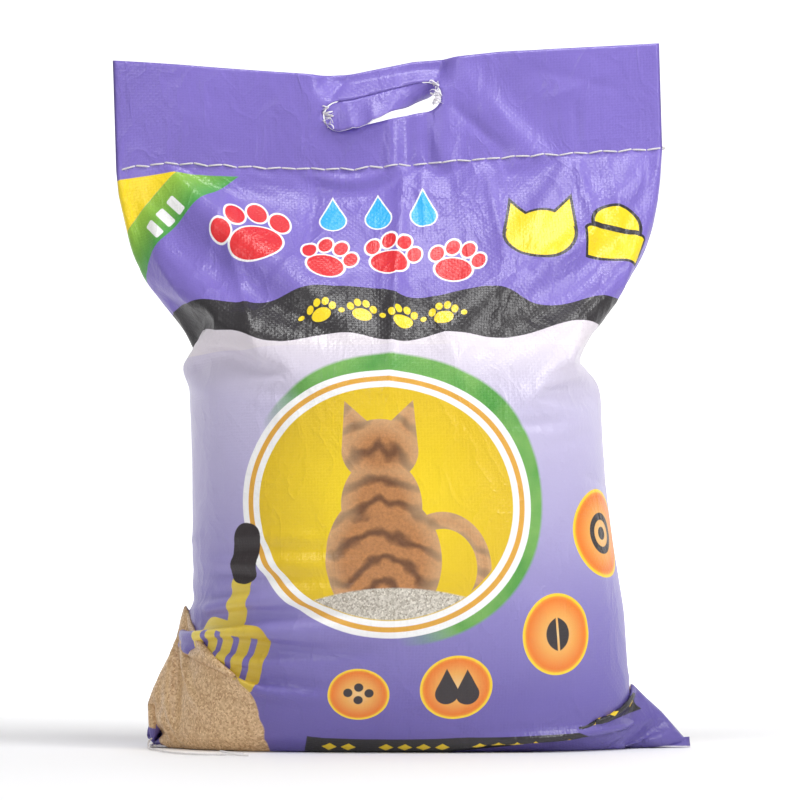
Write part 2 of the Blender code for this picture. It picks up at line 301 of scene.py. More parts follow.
class Cloth:
    """The sack's cloth as a tube of evenly spaced points: rows run up from the bottom seam, and
    columns run from the left fold along the front to the right fold and back along the back."""

    def __init__(self, width, columns):
        self.spacing = width / (columns - 1)
        self.across = columns
        self.around = 2 * (columns - 1)
        self.width = width
        self.places = self.start_places()

    def mirror(self):
        """For each column, the one that lies behind it or in front of it."""
        return (self.around - np.arange(self.around)) % self.around

    def share_across(self):
        """0 at the left fold and 1 at the right fold, for each column."""
        column = np.arange(self.around)
        return np.minimum(column, self.around - column) / (self.across - 1)

    def start_places(self):
        """The cloth on an even tube round the filling, closed at the seams."""
        fine = 0.0005
        heights = np.arange(0, SHOULDER_START, fine)
        depths = filling_at(heights)[2] + 0.003
        base = np.arange(0, depths[0], fine)
        steps = int(sizes().shoulder_length / fine)
        rise = np.arange(1, steps + 1) / steps
        seam_height = float(line_height(TOP_SEAM_LINE, 0.0))
        path_z = np.concatenate([np.zeros(len(base)), heights,
                                 SHOULDER_START + (seam_height - SHOULDER_START) * rise])
        path_y = np.concatenate([base, depths, depths[-1] * (1 - rise)])
        along = lengths_along(path_z, path_y)
        self.seam_row = int(round(along[-1] / self.spacing))
        rows = self.seam_row + int(round(sizes().header_height / self.spacing)) + 1
        places = np.zeros((rows, self.around, 3))
        share = self.share_across()
        left, right = LEFT_CORNER[0], RIGHT_CORNER[0]
        for row in range(rows):
            if row >= self.seam_row:
                up = (row - self.seam_row) / (rows - 1 - self.seam_row)
                places[row] = header_place(share, up)
            elif row == 0:
                x = left[0] + (right[0] - left[0]) * share
                places[row] = np.stack([x, 0 * x, 0 * x + left[1]], -1)
            else:
                at = along[-1] * row / self.seam_row
                height, depth = np.interp(at, along, path_z), np.interp(at, along, path_y)
                x, y = ring_of_girth(2 * self.width, depth, self.around)
                lean = np.interp(height, (0, 0.05, 0.12, 0.25, 0.31, 0.43),
                                 (0.016, 0.008, 0.004, -0.003, -0.010, -0.009))
                places[row] = np.stack([x + lean, y, 0 * x + height], -1)
        return places

    def refine(self):
        """Halves the spacing, with cubic midpoints."""
        old = self.places
        rows = np.zeros((2 * len(old) - 1, self.around, 3))
        rows[::2] = old
        between = (old[:-1] + old[1:]) / 2
        between[1:-1] = (9 * (old[1:-2] + old[2:-1]) - (old[:-3] + old[3:])) / 16
        rows[1::2] = between
        fine = np.zeros((len(rows), 2 * self.around, 3))
        fine[:, ::2] = rows
        fine[:, 1::2] = (9 * (rows + np.roll(rows, -1, 1))
                         - (np.roll(rows, 1, 1) + np.roll(rows, -2, 1))) / 16
        self.places = fine
        self.around *= 2
        self.across = 2 * self.across - 1
        self.spacing /= 2
        self.seam_row *= 2

    def fold_guides(self):
        """Places (row, column, x, z) that the stiff side folds are drawn towards."""
        guides = []
        right = self.across - 1
        for column, shoulder, corner in ((0, LEFT_SHOULDER, LEFT_CORNER),
                                         (right, RIGHT_SHOULDER, RIGHT_CORNER)):
            steps = even_steps(shoulder[::-1], self.spacing * 1.02)
            guides += [(self.seam_row - k, column, *steps[k]) for k in range(1, len(steps) - 1)]
            steps = even_steps(corner, self.spacing)
            guides += [(k, column, *steps[k]) for k in range(len(steps))]
        rows, columns, xs, zs = zip(*guides)
        return np.array(rows), np.array(columns), np.array(xs), np.array(zs)

    def relax(self, steps, rounds, bend, pressure, weight=2.5e-6):
        """Lets the cloth settle: it keeps its lengths, rests on the filling and the floor, and
        hangs from the header."""
        places = self.places
        mirror = self.mirror()
        loose, inner = slice(1, self.seam_row), np.arange(1, self.across - 1)
        up = np.arange(len(places) - self.seam_row) / (len(places) - 1 - self.seam_row)
        header = header_place(self.share_across()[None, :], up[:, None])
        rows, columns, guide_x, guide_z = self.fold_guides()
        speed = np.zeros_like(places)
        for _ in range(steps):
            before = places.copy()
            speed[..., 2] -= weight
            push = pressure * np.clip(FILLING_TOP - places[..., 2], 0, None)
            speed += outward(places) * push[..., None]
            places += speed
            for _ in range(rounds):
                self.keep_lengths()
                self.resist_bending(bend)
                places[0] = (places[0] + places[0][mirror]) / 2
                apart = places[loose, mirror[inner], 1] - places[loose, inner, 1]
                crossed = np.maximum(LEAST_GAP - apart, 0) / 2
                places[loose, inner, 1] -= crossed
                places[loose, mirror[inner], 1] += crossed
                keep_outside_filling(places)
                keep_above_floor(places)
                places[self.seam_row:] = header
                places[rows, columns, 0] += FOLD_PULL * (guide_x - places[rows, columns, 0])
                places[rows, columns, 1] *= FOLD_DEPTH_KEPT
                places[rows, columns, 2] += FOLD_PULL * (guide_z - places[rows, columns, 2])
            speed = (places - before) * SPEED_KEPT

    def keep_lengths(self):
        """Restores the distances between neighbours, and more weakly those across the cells."""
        places, spacing, rows = self.places, self.spacing, len(self.places)
        for start in (0, 1):
            first = np.arange(start, self.around, 2)
            second = (first + 1) % self.around
            a, b = places[:, first], places[:, second]
            draw_together(a, b, spacing, 1.0)
            places[:, first], places[:, second] = a, b
            pairs = (rows - start) // 2 * 2
            low, high = places[start:start + pairs:2], places[start + 1:start + pairs:2]
            draw_together(low, high, spacing, 1.0)
            for side in (-1, 1):
                turned = np.roll(high, side, 1)
                draw_together(low, turned, spacing * math.sqrt(2), SHEAR_STIFFNESS)
                places[start + 1:start + pairs:2] = np.roll(turned, -side, 1)

    def smooth_sides(self):
        """Takes the short ripples out of the side folds between the ears and the header."""
        column = np.arange(self.around)
        from_fold = np.minimum(column, self.around - column)
        from_fold = np.minimum(from_fold, self.across - 1 - from_fold)
        height = np.arange(len(self.places)) * self.spacing
        rise = np.clip((height - 0.15) / 0.04, 0, 1) * np.clip((0.50 - height) / 0.05, 0, 1)
        share = 0.25 * rise[1:-1, None] * bell(from_fold * self.spacing, 0.0, 0.040)
        for _ in range(SIDE_SMOOTHING):
            bent = self.places[2:] - 2 * self.places[1:-1] + self.places[:-2]
            self.places[1:-1] += share[..., None] * bent

    def resist_bending(self, bend):
        """Pushes apart the points two steps from each other, where the cloth is bent."""
        places, spacing, rows = self.places, self.spacing, len(self.places)
        for offset in range(4):
            low, high = places[offset:rows - 2:4], places[offset + 2:rows:4]
            count = min(len(low), len(high))
            draw_together(low[:count], high[:count], 2 * spacing, bend, only_apart=True)
            first = np.arange(offset, self.around, 4)
            second = (first + 2) % self.around
            a, b = places[:, first], places[:, second]
            draw_together(a, b, 2 * spacing, bend, only_apart=True)
            places[:, first], places[:, second] = a, b


def outward(places):
    """The outward direction at each point of the tube of cloth."""
    along = np.roll(places, -1, 1) - np.roll(places, 1, 1)
    up = np.zeros_like(places)
    up[1:-1] = places[2:] - places[:-2]
    out = np.cross(along, up)
    return out / (np.sqrt((out ** 2).sum(-1, keepdims=True)) + 1e-12)


def draw_together(a, b, rest, share, only_apart=False):
    """Moves each pair of points towards its rest distance, half of the way each."""
    between = b - a
    distance = np.sqrt(np.einsum("...k,...k->...", between, between)) + 1e-12
    error = (distance - rest) / distance
    if only_apart:
        error = np.minimum(error, 0)
    move = between * (0.5 * share * error)[..., None]
    a += move
    b -= move


@functools.cache
def settled_cloth():
    """The cloth at rest round its filling, settled at three levels of detail."""
    cloth = Cloth(sizes().flat_width, COARSE_COLUMNS)
    loose = cloth.places[1:cloth.seam_row, :, 1]
    loose += np.random.default_rng(4).normal(0, START_NOISE, loose.shape)
    cloth.relax(220, 6, bend=0.03, pressure=1.5e-4)
    cloth.refine()
    cloth.relax(200, 6, bend=0.06, pressure=1.0e-4)
    cloth.refine()
    cloth.relax(50, 4, bend=0.08, pressure=2.5e-5, weight=6e-7)
    cloth.smooth_sides()
    return cloth


# ---- shader building ----------------------------------------------------------------------
class Term:
    """A value inside a material. Arithmetic on it adds Math nodes."""

    def __init__(self, shader, socket):
        self.shader, self.socket = shader, socket

    def __add__(self, other):
        return self.shader.maths("ADD", self, other)

    def __sub__(self, other):
        return self.shader.maths("SUBTRACT", self, other)

    def __mul__(self, other):
        return self.shader.maths("MULTIPLY", self, other)

    def __truediv__(self, other):
        return self.shader.maths("DIVIDE", self, other)

    def __pow__(self, other):
        return self.shader.maths("POWER", self, other)

    def __mod__(self, other):
        return self.shader.maths("FLOORED_MODULO", self, other)

    def __rsub__(self, other):
        return self.shader.maths("SUBTRACT", other, self)

    def __neg__(self):
        return self.shader.maths("MULTIPLY", self, -1.0)

    def __abs__(self):
        return self.shader.maths("ABSOLUTE", self)

    __radd__, __rmul__ = __add__, __mul__


class Shader:
    """A material with one Principled BSDF, and short ways to add the nodes that feed it."""

    def __init__(self, name, roughness, **uniform):
        self.material = bpy.data.materials.new(name)
        self.material.use_nodes = True
        self.tree = self.material.node_tree
        self.surface = self.tree.nodes["Principled BSDF"]
        self.surface.inputs["Roughness"].default_value = roughness
        for socket, value in uniform.items():
            self.surface.inputs[socket.replace("_", " ")].default_value = value

    def node(self, kind, settings=None, inputs=None, output=0):
        """Adds a node: its settings first, then the values or links of its sockets."""
        node = self.tree.nodes.new(kind)
        for name, value in (settings or {}).items():
            if name == "stops":
                stops = node.color_ramp.elements
                while len(stops) < len(value):
                    stops.new(0.5)
                for stop, (at, shade) in zip(stops, value):
                    stop.position, stop.color = at, (*shade, 1.0)
            elif name == "points":
                points = node.mapping.curves[0].points
                while len(points) < len(value):
                    points.new(0.5, 0.5)
                for point, place in zip(points, value):
                    point.location = place
                node.mapping.update()
            else:
                setattr(node, name, value)
        for name, value in (inputs or {}).items():
            self.plug(node.inputs[name], value)
        return Term(self, node.outputs[output])

    def plug(self, socket, value):
        """Links a term to a socket, or sets the socket's own value."""
        if isinstance(value, Term):
            self.tree.links.new(value.socket, socket)
        elif socket.type == "RGBA":
            socket.default_value = (*value, 1.0)
        else:
            socket.default_value = value

    def maths(self, operation, *values, clamp=False):
        return self.node("ShaderNodeMath", {"operation": operation, "use_clamp": clamp},
                         dict(enumerate(values)))

    def smaller(self, *values):
        return functools.reduce(functools.partial(self.maths, "MINIMUM"), values)

    def larger(self, *values):
        return functools.reduce(functools.partial(self.maths, "MAXIMUM"), values)

    def ramp(self, value, low, slope):
        """low + slope * value, kept between 0 and 1."""
        return self.maths("MULTIPLY_ADD", value, slope, low, clamp=True)

    def inside(self, distance, softness=0.0004):
        """1 where the distance is below zero and 0 where it is above, with a soft edge."""
        return self.ramp(distance, 0.5, -1.0 / softness)

    def paint(self, under, over, mask):
        """Mixes two colours: the second one where the mask is 1."""
        return self.node("ShaderNodeMix", {"data_type": "RGBA"}, {0: mask, 6: under, 7: over}, 2)

    def fill(self, under, over, distance, softness=0.0004):
        """Paints a colour where the distance is below zero."""
        return self.paint(under, over, self.inside(distance, softness))

    def shade(self, under, factor):
        """Darkens or lightens a colour by a number."""
        return self.node("ShaderNodeVectorMath", {"operation": "SCALE"}, {0: under, 3: factor})

    def noise(self, vector, scale, detail=2.0, roughness=0.5, distortion=0.0):
        return self.node("ShaderNodeTexNoise", None,
                         {"Vector": vector, "Scale": scale, "Detail": detail,
                          "Roughness": roughness, "Distortion": distortion})

    def grains(self, vector, scale):
        """A random value for each small grain of a heap."""
        return self.node("ShaderNodeTexVoronoi", None, {"Vector": vector, "Scale": scale}, 1)

    def object_place(self):
        return self.node("ShaderNodeTexCoord", None, None, 3)

    def sheet_place(self):
        """A point of the laid-flat sack, and its distances from the left fold and the seam."""
        place = self.node("ShaderNodeUVMap", {"uv_map": "sheet"})
        around, up = (self.node("ShaderNodeSeparateXYZ", None, {0: place}, axis) for axis in (0, 1))
        return place, around, up

    def bump(self, height, distance, normal=None):
        under = {"Normal": normal} if normal else {}
        return self.node("ShaderNodeBump", None,
                         {"Height": height, "Distance": distance, "Strength": 1.0, **under})

    def finish(self, base=None, roughness=None, normal=None):
        for name, value in (("Base Color", base), ("Roughness", roughness), ("Normal", normal)):
            if value is not None:
                self.plug(self.surface.inputs[name], value)
        return self.material


class Drawing:
    """Plain shapes on the flat sheet, as distances: below zero inside, above zero outside."""

    def __init__(self, shader, u, v, place=None):
        self.shader, self.u, self.v, self.place = shader, u, v, place

    def moved(self, u, v, turn=0.0, grow=1.0):
        """The same sheet seen from another middle, turned and with its measures grown."""
        du, dv = self.u - u, self.v - v
        if turn:
            cosine, sine = math.cos(turn), math.sin(turn)
            du, dv = du * cosine + dv * sine, dv * cosine - du * sine
        if grow != 1.0:
            du, dv = du / grow, dv / grow
        return Drawing(self.shader, du, dv)

    def row(self, first, pitch, count, height, grow):
        """A row of equal cells: the sheet seen from the nearest cell's middle, with its measures
        grown, and the distance past the row's ends."""
        across = self.u - (first - pitch / 2)
        cell = Drawing(self.shader, (across % pitch - pitch / 2) / grow, (self.v - height) / grow)
        return cell, self.shader.larger(-across, across - pitch * count)

    def ellipse(self, u, v, wide, high):
        du, dv = (self.u - u) / wide, (self.v - v) / high
        return ((du * du + dv * dv) ** 0.5 - 1.0) * min(wide, high)

    def box(self, u, v, wide, high, corner=0.0):
        du = self.shader.larger(abs(self.u - u) - (wide - corner), 0.0)
        dv = self.shader.larger(abs(self.v - v) - (high - corner), 0.0)
        return (du * du + dv * dv) ** 0.5 - corner

    def above_line(self, start, end):
        """Distance to the left of the line from start to end: below zero on its right side."""
        du, dv = end[0] - start[0], end[1] - start[1]
        size = math.hypot(du, dv)
        return (self.v - start[1]) * (du / size) - (self.u - start[0]) * (dv / size)

    def triangle(self, a, b, c):
        """The inside of a triangle whose corners run clockwise."""
        return self.shader.larger(self.above_line(a, b), self.above_line(b, c),
                                  self.above_line(c, a))

    def paw(self):
        """A paw print about 2 units wide and high, round the middle."""
        pad = self.ellipse(0.0, -0.38, 0.62, 0.50)
        toes = [self.ellipse(u, v, 0.23, 0.32)
                for u, v in ((-0.72, 0.18), (-0.27, 0.58), (0.27, 0.58), (0.72, 0.18))]
        return self.shader.smaller(pad, *toes)

    def cat_head(self):
        """A plain round head with two pointed ears, about 2 units wide."""
        face = self.ellipse(0.0, -0.15, 0.92, 0.75)
        ears = [self.triangle((side * 0.92 if side < 0 else 0.25, 0.05 if side < 0 else 0.35),
                              (side * 0.80, 0.98),
                              (-0.25 if side < 0 else 0.92, 0.35 if side < 0 else 0.05))
                for side in (-1, 1)]
        return self.shader.smaller(face, *ears)

    def drop(self):
        """A drop about 1 unit wide with its point at the top."""
        bulb = self.ellipse(0.0, -0.25, 0.52, 0.52)
        point = self.triangle((-0.47, -0.02), (0.0, 0.95), (0.47, -0.02))
        return self.shader.smaller(bulb, point)


# ---- materials ----------------------------------------------------------------------------
BAND_TOP = ((0.0, 0.4205), (0.045, 0.4180), (0.095, 0.4095), (0.150, 0.4225), (0.190, 0.4210),
            (0.215, 0.4120), (0.256, 0.4180), (0.276, 0.4190), (0.312, 0.4080), (0.360, 0.4150),
            (0.404, 0.4205))
BAND_BOTTOM = ((0.0, 0.3895), (0.083, 0.3860), (0.116, 0.3735), (0.165, 0.3805), (0.205, 0.3725),
               (0.240, 0.3800), (0.285, 0.3785), (0.335, 0.3910), (0.404, 0.3895))
CURVE_FOOT, CURVE_SPAN = 0.30, 0.20
FADE_SPAN = 0.5               # the height on the sheet that the faded field's colours cover
WEAVE_DEPTH, CRINKLE_DEPTH, CRUMPLE_DEPTH = 0.00009, 0.00006, 0.0005


def wavy_height(shader, across, points):
    """The height of a wavy line over the sheet, as a smooth curve through its points."""
    width = sizes().flat_width
    places = [(u / width, (v - CURVE_FOOT) / CURVE_SPAN) for u, v in points]
    curve = shader.node("ShaderNodeFloatCurve", {"points": places},
                        {"Factor": 1.0, "Value": across / width})
    return curve * CURVE_SPAN + CURVE_FOOT


def faded_field(shader, u, v):
    """The lower field: near white under the band and violet at the foot, as printed. It turns violet
    sooner at the left, which is painted shade on the less lit left side.
    """
    # painted shade: near the left fold the field is moved down, so the left side comes out darker
    # and more violet, as if lit less
    v = v - shader.ramp(u, 1.0, -7.5) * 0.0320
    tints = ((0.060, (100, 88, 160)), (0.115, (112, 100, 174)), (0.175, (140, 130, 194)),
             (0.245, (178, 170, 212)), (0.320, (201, 194, 224)), (0.375, (222, 214, 224)))
    stops = [(height / FADE_SPAN, from_screen(*tint)) for height, tint in tints]
    return shader.node("ShaderNodeValToRGB", {"stops": stops}, {"Fac": v / FADE_SPAN})


def draw_corner_stripe(field, base):
    """A yellow corner and a green stripe across it, with plain white bars on the stripe."""
    shader, palette = field.shader, colours()
    corner_width, corner_height = 0.0455, 0.0390
    below = 0.5270 - field.v
    slant = field.u / corner_width + below / corner_height
    under_line = shader.inside(-below, 0.0006)
    base = shader.paint(base, palette.sun, shader.inside(slant - 1.0, 0.02) * under_line)
    stripe = shader.larger(1.0 - slant, slant - 2.0)
    green = shader.paint(from_screen(152, 196, 62), palette.leaf, slant - 1.0)
    base = shader.paint(base, green, shader.inside(stripe, 0.02) * under_line)
    turned = field.moved(0.0340, 0.4925, math.atan2(corner_height, corner_width))
    cell = Drawing(shader, (turned.u + 0.0060) % 0.0120 - 0.0060, turned.v)
    bars = shader.larger(cell.box(0.0, 0.0, 0.0036, 0.0078, 0.0016), abs(turned.u) - 0.0180)
    return shader.fill(base, palette.paper, bars)


def draw_paw_trail(field, base):
    """Red paw prints with white outlines, and light-blue drops above them."""
    shader, palette = field.shader, colours()
    large, small, drop_size = 0.0310, 0.0215, 0.0175
    first, pitch = 0.1560, 0.0460
    step = shader.maths("FLOOR", (field.u - (first - pitch / 2)) / pitch)
    height = shader.maths("SINE", step * 2.4) * 0.0050 + 0.4510
    cell, outside = field.row(first, pitch, 3, height, small)
    trail = shader.larger(cell.moved(0.0, 0.0, -0.30).paw() * small, outside + 0.0020)
    paws = shader.smaller(trail, field.moved(0.1010, 0.4740, 0.25, large).paw() * large)
    base = shader.fill(base, palette.paper, paws - 0.0014)
    base = shader.fill(base, palette.berry, paws)
    cell, outside = field.row(0.1600, 0.0330, 3, 0.4940, drop_size)
    drop = cell.drop() * drop_size
    base = shader.fill(base, palette.paper, shader.larger(drop - 0.0011, outside))
    return shader.fill(base, palette.sky, shader.larger(drop, outside))


def draw_yellow_marks(field, base):
    """Two yellow marks with dark outlines: a plain cat's head and a heap in a tray."""
    shader, palette = field.shader, colours()
    head_size, tray_size = 0.0270, 0.0250
    head = field.moved(0.3100, 0.4700, -0.05, head_size).cat_head() * head_size
    tray = field.moved(0.3680, 0.4700, -0.08, tray_size)
    sides = shader.larger(tray.box(0.0, -0.45, 0.95, 0.42, 0.12),
                          abs(tray.u) - 0.86 - 0.22 * (tray.v + 0.45))
    heap = shader.larger(tray.ellipse(0.0, 0.16, 0.74, 0.56), 0.13 - tray.v)
    marks = shader.smaller(head, shader.smaller(sides, heap) * tray_size)
    base = shader.fill(base, palette.band, marks - 0.0021)
    return shader.fill(base, palette.sun, marks)


def draw_band(field, base):
    """The dark wavy band, and a row of yellow paw prints and dots on it."""
    shader, palette = field.shader, colours()
    top, bottom = (wavy_height(shader, field.u, line) for line in (BAND_TOP, BAND_BOTTOM))
    base = shader.fill(base, palette.band, shader.larger(field.v - top, bottom - field.v))
    first, pitch, size = 0.1500, 0.0290, 0.0112
    middle = (top + bottom) * 0.5
    cell, outside = field.row(first, pitch, 4, middle, size)
    dots = field.row(first - pitch / 2, pitch, 4, middle, size)[0]
    marks = shader.smaller(cell.paw(), dots.ellipse(0.0, -0.2, 0.20, 0.20)) * size
    return shader.fill(base, palette.sun, shader.larger(marks, outside - 0.0030))


DISC_MIDDLE = (0.1915, 0.2555)
DISC_REACH = (0.0895, 0.0820)
DISC_RIM, DISC_RING = 1.150, 1.075
CAT_SIZE = 0.0660


def draw_disc(field, base):
    """The green crescent, the white and orange rings, and the yellow disc with its picture."""
    shader, palette = field.shader, colours()
    u, v = DISC_MIDDLE
    disc, ring, rim = (field.ellipse(u, v, DISC_REACH[0] * grow, DISC_REACH[1] * grow)
                       for grow in (1.0, DISC_RING, DISC_RIM))
    crescent = field.ellipse(u + 0.0052, v + 0.0036, 0.1068, 0.1035)
    fade = shader.ramp(field.u - u + (field.v - v) * 0.62, 1.15, 22.0)
    green = shader.paint(from_screen(66, 148, 58), from_screen(136, 186, 98),
                         shader.ramp(shader.noise(field.place, 26.0, 3.0), -0.7, 2.4))
    base = shader.paint(base, green, shader.inside(crescent, 0.0022) * fade)
    base = shader.fill(base, palette.paper, rim)
    base = shader.fill(base, from_screen(226, 168, 62), abs(ring) - 0.0018)
    yellow = shader.paint(palette.sun, from_screen(226, 190, 28), shader.ramp(disc, 1.0, 14.0))
    base = shader.fill(base, yellow, disc)
    return draw_sitting_cat(field, base, disc)


def draw_sitting_cat(field, base, disc):
    """A tabby cat from behind, sitting on a mound of grains. It has no face."""
    shader, place = field.shader, field.place
    cat = field.moved(DISC_MIDDLE[0] - 0.002, DISC_MIDDLE[1] - 0.004, 0.0, CAT_SIZE)
    ring = abs(cat.ellipse(0.62, -0.62, 0.42, 0.50)) - 0.075
    figure = shader.smaller(
        cat.ellipse(0.0, -0.52, 0.60, 0.72), cat.ellipse(0.0, 0.05, 0.42, 0.50),
        cat.ellipse(0.0, 0.62, 0.40, 0.34),
        cat.triangle((-0.40, 0.62), (-0.36, 1.16), (-0.04, 0.86)),
        cat.triangle((0.04, 0.86), (0.36, 1.16), (0.40, 0.62)),
        shader.larger(ring, 0.42 - cat.u))
    warp = shader.noise(place, 34.0) * 0.55
    stripes = shader.maths("SINE", (cat.v + abs(cat.u) * 0.5 + warp) * 21.0)
    coat = shader.paint(colours().coat, from_screen(98, 62, 40),
                        shader.ramp(stripes, 0.05, 1.0) * 0.85)
    coat = shader.shade(coat, shader.noise(place, 420.0, 3.0, 0.65) * 0.9 + 0.55)
    coat = shader.paint(coat, from_screen(232, 196, 150), shader.ramp(figure, 1.0, 5.0) * 0.45)
    base = shader.fill(base, coat, shader.larger(figure * CAT_SIZE, disc + 0.0012))
    sand = shader.paint(from_screen(150, 140, 124), from_screen(240, 234, 222),
                        shader.grains(place, 900.0))
    mound = cat.ellipse(0.10, -1.78, 1.60, 0.95) * CAT_SIZE
    return shader.fill(base, sand, shader.larger(mound, disc + 0.0006), 0.0012)


def draw_badges(field, base):
    """Four orange badges with plain dark marks: dots, two drops, a leaf and a ring."""
    shader = field.shader
    badges = ((0.1760, 0.1195, 0.0205, 0.0188), (0.2400, 0.1260, 0.0240, 0.0230),
              (0.3090, 0.1610, 0.0255, 0.0290), (0.3600, 0.2300, 0.0320, 0.0320))
    glow = ((0.0, from_screen(240, 202, 140)), (0.45, from_screen(240, 172, 86)),
            (0.85, colours().ember), (0.91, from_screen(240, 150, 44)),
            (0.95, from_screen(252, 212, 50)), (1.0, from_screen(252, 212, 50)))
    dots = ((-0.55, 0.1), (0.0, 0.42), (0.55, 0.1), (0.0, -0.3))
    marks = (lambda small: shader.smaller(*[small.ellipse(x, y, 0.24, 0.24) for x, y in dots]),
             lambda small: shader.smaller(small.moved(-0.42, 0.0).drop(),
                                          small.moved(0.5, -0.1).drop()),
             lambda small: shader.larger(small.ellipse(-0.25, 0.0, 0.80, 0.80),
                                         small.ellipse(0.25, 0.0, 0.80, 0.80),
                                         0.05 - abs(small.u)),
             lambda small: shader.smaller(abs(small.ellipse(0.0, 0.0, 0.62, 0.62)) - 0.13,
                                          small.ellipse(0.0, 0.0, 0.24, 0.24)))
    for (u, v, wide, high), mark in zip(badges, marks):
        edge = field.ellipse(u, v, wide, high)
        tint = shader.node("ShaderNodeValToRGB", {"stops": glow},
                           {"Fac": edge / min(wide, high) + 1.0})
        base = shader.fill(base, tint, edge)
        size = wide * 0.62
        small = field.moved(u, v).moved(0.0, 0.0, 0.06, size)
        base = shader.fill(base, from_screen(54, 48, 50), mark(small) * size)
    return base


def draw_strip(field, base):
    """The dark strip at the foot, with groups of small yellow marks."""
    shader, u = field.shader, field.u
    v = field.v - 0.0810 + shader.ramp(u, 2.5, -10.0) * 0.0060
    v = v + shader.larger(u - 0.3250, 0.0) * 0.45
    strip = shader.larger(abs(v) - 0.0080, 0.1470 - u, u - 0.3900)
    base = shader.fill(base, colours().band, strip, 0.0006)
    pitch, group = 0.0120, 0.0600
    cell = Drawing(shader, u % pitch - pitch / 2, v)
    lozenge = shader.smaller(abs(cell.u) * 0.75 + abs(cell.v) - 0.0036,
                             cell.box(0.0, 0.0, 0.0040, 0.0009))
    lozenge = shader.larger(lozenge, 0.0118 - u % group, 0.1560 - u, u - 0.3870)
    return shader.fill(base, from_screen(236, 202, 44), lozenge)


def draw_scoop(field, base):
    """A yellow scoop standing in a heap of tan grains, at the lower left."""
    shader, size = field.shader, 0.0540
    tool = field.moved(0.0800, 0.1640, -0.16, size)
    slots = shader.larger(abs(tool.u % 0.26 - 0.13) - 0.045, abs(tool.v + 0.50) - 0.34,
                          abs(tool.u) - 0.47)
    blade = shader.larger(tool.box(0.0, -0.55, 0.62, 0.62, 0.26), -slots)
    handle = tool.box(0.0, 0.62, 0.15, 0.72, 0.14)
    yellow = shader.paint(from_screen(238, 214, 92), from_screen(198, 164, 36),
                          shader.ramp(tool.u, 0.4, 0.8))
    base = shader.fill(base, yellow, shader.smaller(blade, handle) * size)
    base = shader.fill(base, from_screen(46, 38, 40), tool.box(0.0, 1.08, 0.20, 0.42, 0.18) * size)
    ragged = field.ellipse(0.0340, 0.0350, 0.0980, 0.1020) + shader.noise(field.place, 60.0) * 0.006
    sand = shader.paint(from_screen(172, 128, 84), from_screen(238, 206, 160),
                        shader.grains(field.place, 820.0))
    return shader.fill(base, sand, shader.larger(ragged, 0.0100 - field.v), 0.0010)


def weave_height(shader, u, v):
    """Woven tapes under the film: crossing flat ridges that pass over and under each other."""
    pitch = sizes().tape_width
    across = abs(shader.maths("SINE", u * (math.pi / pitch)))
    along = abs(shader.maths("SINE", v * (math.pi / pitch)))
    columns, rows = shader.maths("FLOOR", u / pitch), shader.maths("FLOOR", v / pitch)
    over = (columns + rows) % 2.0
    return across ** 0.5 * over + along ** 0.5 * (1.0 - over)


def film_surface(shader, place, u, v):
    """The film's normal, from its weave, fine crinkles and soft crumples, and its roughness."""
    stretched = shader.node("ShaderNodeVectorMath", {"operation": "MULTIPLY"},
                            {0: place, 1: (1.0, 0.55, 1.0)})
    crumple = 1.0 - abs(shader.noise(stretched, 40.0, 3.0, 0.5, 0.6) * 2.0 - 1.0)
    crinkle = 1.0 - abs(shader.noise(place, 95.0, 2.0, 0.55, 0.4) * 2.0 - 1.0)
    weave = shader.bump(weave_height(shader, u, v), WEAVE_DEPTH)
    fine = shader.bump(crinkle ** 4.0, CRINKLE_DEPTH, weave)
    return shader.bump(crumple ** 4.0, CRUMPLE_DEPTH, fine), shader.noise(place, 30.0) * 0.20 + 0.24


def printed_film():
    """The sack's printed, film-faced weave. The print runs round the sack twice."""
    palette = colours()
    shader = Shader("printed_film", 0.35, Specular_IOR_Level=0.55)
    place, around, v = shader.sheet_place()
    u = around % sizes().flat_width
    field = Drawing(shader, u, v, place)
    violet = shader.shade(palette.violet, shader.noise(place, 14.0) * 0.22 + 0.89)
    base = shader.fill(faded_field(shader, u, v), violet, 0.3950 - v, 0.0008)
    for draw in (draw_corner_stripe, draw_paw_trail, draw_yellow_marks, draw_disc, draw_badges,
                 draw_scoop, draw_strip):
        base = draw(field, base)
    pale = shader.larger(v - wavy_height(shader, u, BAND_BOTTOM), 0.3700 - v)
    base = draw_band(field, shader.fill(base, palette.pale, pale, 0.0006))
    normal, roughness = film_surface(shader, place, u, v)
    return shader.finish(base, roughness, normal)


def raw_edge():
    """The cut edges of the white woven cloth."""
    shader = Shader("raw_cut_edge", 0.6)
    fibres = shader.noise(shader.object_place(), 900.0)
    base = shader.paint(from_screen(206, 200, 214), colours().paper, fibres)
    return shader.finish(base, None, shader.bump(fibres, 0.0003))


def sewing_thread():
    """White spun thread, slightly soiled in places."""
    shader = Shader("white_sewing_thread", 0.72)
    place = shader.object_place()
    strands = shader.noise(place, 1500.0)
    base = shader.paint(from_screen(206, 202, 208), colours().thread,
                        shader.ramp(strands, -0.1, 1.6))
    base = shader.shade(base, shader.noise(place, 90.0) * 0.14 + 0.92)
    return shader.finish(base, None, shader.bump(strands, 0.0003))


# ---- making objects -----------------------------------------------------------------------
def add_mesh(name, vertices, faces, materials, face_materials=None):
    mesh = bpy.data.meshes.new(name)
    mesh.from_pydata([tuple(place) for place in vertices], [], [tuple(face) for face in faces])
    for material in materials:
        mesh.materials.append(material)
    if face_materials is not None:
        mesh.polygons.foreach_set("material_index", face_materials)
    mesh.shade_smooth()
    piece = bpy.data.objects.new(name, mesh)
    bpy.context.scene.collection.objects.link(piece)
    return piece


